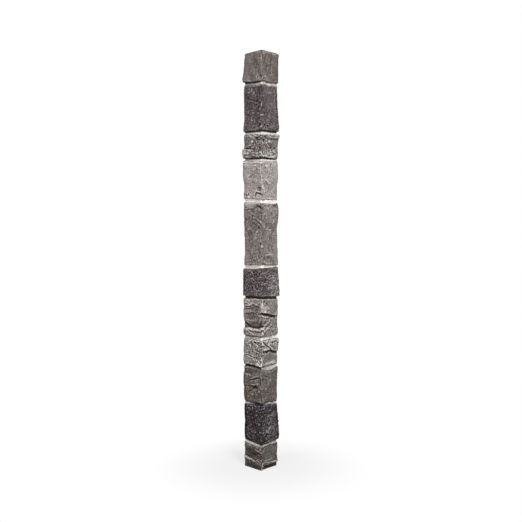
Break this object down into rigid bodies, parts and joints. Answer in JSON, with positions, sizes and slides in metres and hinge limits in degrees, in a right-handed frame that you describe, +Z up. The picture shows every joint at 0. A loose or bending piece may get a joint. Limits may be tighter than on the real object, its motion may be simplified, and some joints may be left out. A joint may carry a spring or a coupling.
{
  "type": "faux stone outside corner",
  "caption": "Moulded foam angle with a face of stacked split stones and recessed wavy mortar joints, that wraps the outside corner of a wall.",
  "frame": {"origin": "middle of the bottom cut, under the middle of the angle's outline seen from above", "axes": "+Z up along the corner; the stone arris is at +X -Y, one leg's face looks to -Y and the other's to +X"},
  "size_m": [0.0791, 0.0796, 1.2192],
  "materials": {
    "painted_foam": "painted closed-cell polyurethane foam: matt stone colours from light grey to charcoal, off-white mortar"
  },
  "bodies": {
    "root": {"stone_corner": "painted_foam"}
  },
  "joints": []
}
